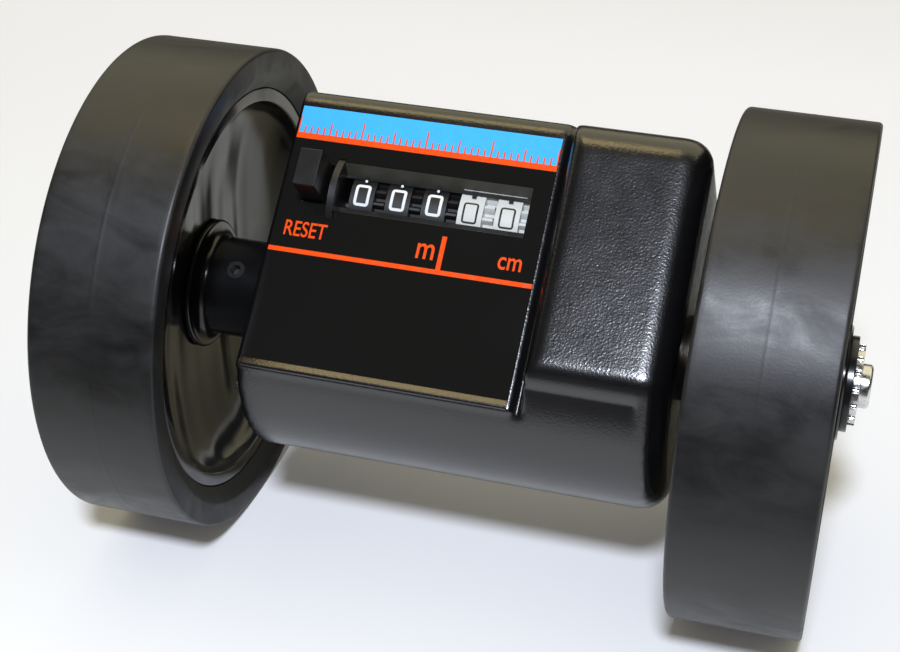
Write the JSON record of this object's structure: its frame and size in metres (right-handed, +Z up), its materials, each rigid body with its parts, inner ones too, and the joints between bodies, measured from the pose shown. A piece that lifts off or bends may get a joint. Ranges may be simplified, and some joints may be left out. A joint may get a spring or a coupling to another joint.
{
  "type": "measuring wheel counter",
  "caption": "Hand rolling measure: rubber tyres on one axle turn a gear train and a row of number wheels in a black cast body with a sloping face and a reset key.",
  "frame": {"origin": "on the floor, straight below the middle of the axle", "axes": "+X along the axle from the reset key's end to the gear block's end, +Z up, the label faces -Y and up"},
  "size_m": [0.1668, 0.1062, 0.1061],
  "materials": {
    "casting": "black wrinkle paint on an aluminium casting",
    "label": "gloss black printed plate",
    "tyre_rubber": "matte black rubber",
    "disc_paint": "gloss black enamel on aluminium",
    "black_oxide": "black oxide on steel",
    "zinc": "bright zinc plating",
    "steel": "ground steel",
    "bronze": "machined",
    "black_plastic": "moulded black plastic",
    "key_plastic": "moulded dark grey plastic",
    "white_plastic": "moulded white plastic",
    "natural_plastic": "natural acetal"
  },
  "bodies": {
    "body": {"housing": "casting", "left_end_cover": "casting", "end_cover_screws": "zinc", "face_plate": "label", "counter_frame": "black_plastic", "counter_screws": "zinc", "number_shaft": "steel", "carry_shaft": "steel", "reset_rod": "steel", "left_bush": "bronze", "right_bush": "bronze", "idler_pin": "steel", "idler_clip": "black_oxide", "key_spring": "steel"},
    "axle_set": {"axle": "steel", "left_wheel_disc": "disc_paint", "right_wheel_disc": "disc_paint", "left_tyre": "tyre_rubber", "right_tyre": "tyre_rubber", "left_hub_washer": "black_oxide", "right_hub_washer": "black_oxide", "left_lock_washer": "zinc", "right_lock_washer": "zinc", "left_axle_bolt": "zinc", "right_axle_bolt": "zinc", "left_collar": "black_oxide", "right_collar": "black_oxide", "left_collar_screw": "black_oxide", "right_collar_screw": "black_oxide", "drive_gear": "bronze", "drive_gear_screw": "black_oxide"},
    "idler": {"idler_gear": "natural_plastic"},
    "metre_hundreds": {"metre_hundreds_wheel": "black_plastic"},
    "metre_tens": {"metre_tens_wheel": "black_plastic"},
    "metre_units": {"metre_units_wheel": "black_plastic"},
    "decimetre": {"decimetre_wheel": "white_plastic"},
    "centimetre": {"centimetre_wheel": "white_plastic", "counter_pinion": "bronze"},
    "carry_pinion_1": {"carry_pinion_1": "natural_plastic"},
    "carry_pinion_2": {"carry_pinion_2": "natural_plastic"},
    "carry_pinion_3": {"carry_pinion_3": "natural_plastic"},
    "carry_pinion_4": {"carry_pinion_4": "natural_plastic"},
    "key": {"reset_key": "key_plastic"},
    "bar": {"reset_bar": "steel"}
  },
  "joints": [
    {"name": "axle_turn", "type": "hinge", "parent": "body", "child": "axle_set", "pos_m": [0, 0, 0.05305], "axis": [1, 0, 0], "continuous": true},
    {"name": "idler_turn", "type": "hinge", "parent": "body", "child": "idler", "pos_m": [0, 0.01518, 0.06931], "axis": [1, 0, 0], "continuous": true},
    {"name": "metre_hundreds_turn", "type": "hinge", "parent": "body", "child": "metre_hundreds", "pos_m": [0, 0.00453, 0.07426], "axis": [1, 0, 0], "continuous": true},
    {"name": "metre_tens_turn", "type": "hinge", "parent": "body", "child": "metre_tens", "pos_m": [0, 0.00453, 0.07426], "axis": [1, 0, 0], "continuous": true},
    {"name": "metre_units_turn", "type": "hinge", "parent": "body", "child": "metre_units", "pos_m": [0, 0.00453, 0.07426], "axis": [1, 0, 0], "continuous": true},
    {"name": "decimetre_turn", "type": "hinge", "parent": "body", "child": "decimetre", "pos_m": [0, 0.00453, 0.07426], "axis": [1, 0, 0], "continuous": true},
    {"name": "centimetre_turn", "type": "hinge", "parent": "body", "child": "centimetre", "pos_m": [0, 0.00453, 0.07426], "axis": [1, 0, 0], "continuous": true},
    {"name": "carry_pinion_1_turn", "type": "hinge", "parent": "body", "child": "carry_pinion_1", "pos_m": [0, 0.01581, 0.07426], "axis": [1, 0, 0], "continuous": true},
    {"name": "carry_pinion_2_turn", "type": "hinge", "parent": "body", "child": "carry_pinion_2", "pos_m": [0, 0.01581, 0.07426], "axis": [1, 0, 0], "continuous": true},
    {"name": "carry_pinion_3_turn", "type": "hinge", "parent": "body", "child": "carry_pinion_3", "pos_m": [0, 0.01581, 0.07426], "axis": [1, 0, 0], "continuous": true},
    {"name": "carry_pinion_4_turn", "type": "hinge", "parent": "body", "child": "carry_pinion_4", "pos_m": [0, 0.01581, 0.07426], "axis": [1, 0, 0], "continuous": true},
    {"name": "key_press", "type": "slide", "parent": "body", "child": "key", "axis": [0, 0.7071, -0.7071], "range_m": [0, 0.003], "stiffness_N_per_m": 400, "springref_m": -0.002, "deforming": ["key_spring"]},
    {"name": "reset_rock", "type": "hinge", "parent": "body", "child": "bar", "pos_m": [0, 0.01308, 0.08452], "axis": [1, 0, 0], "range_deg": [0, 16]}
  ],
  "couplings": [
    {"joint": "idler_turn", "follows": "axle_turn", "ratio": -2.0833},
    {"joint": "metre_hundreds_turn", "follows": "axle_turn", "ratio": 0.00033333},
    {"joint": "metre_tens_turn", "follows": "axle_turn", "ratio": 0.0033333},
    {"joint": "metre_units_turn", "follows": "axle_turn", "ratio": 0.033333},
    {"joint": "decimetre_turn", "follows": "axle_turn", "ratio": 0.33333},
    {"joint": "centimetre_turn", "follows": "axle_turn", "ratio": 3.3333},
    {"joint": "carry_pinion_1_turn", "follows": "axle_turn", "ratio": -0.00083333},
    {"joint": "carry_pinion_2_turn", "follows": "axle_turn", "ratio": -0.0083333},
    {"joint": "carry_pinion_3_turn", "follows": "axle_turn", "ratio": -0.083333},
    {"joint": "carry_pinion_4_turn", "follows": "axle_turn", "ratio": -0.83333},
    {"joint": "reset_rock", "follows": "key_press", "rad_per_m": 90.909}
  ]
}
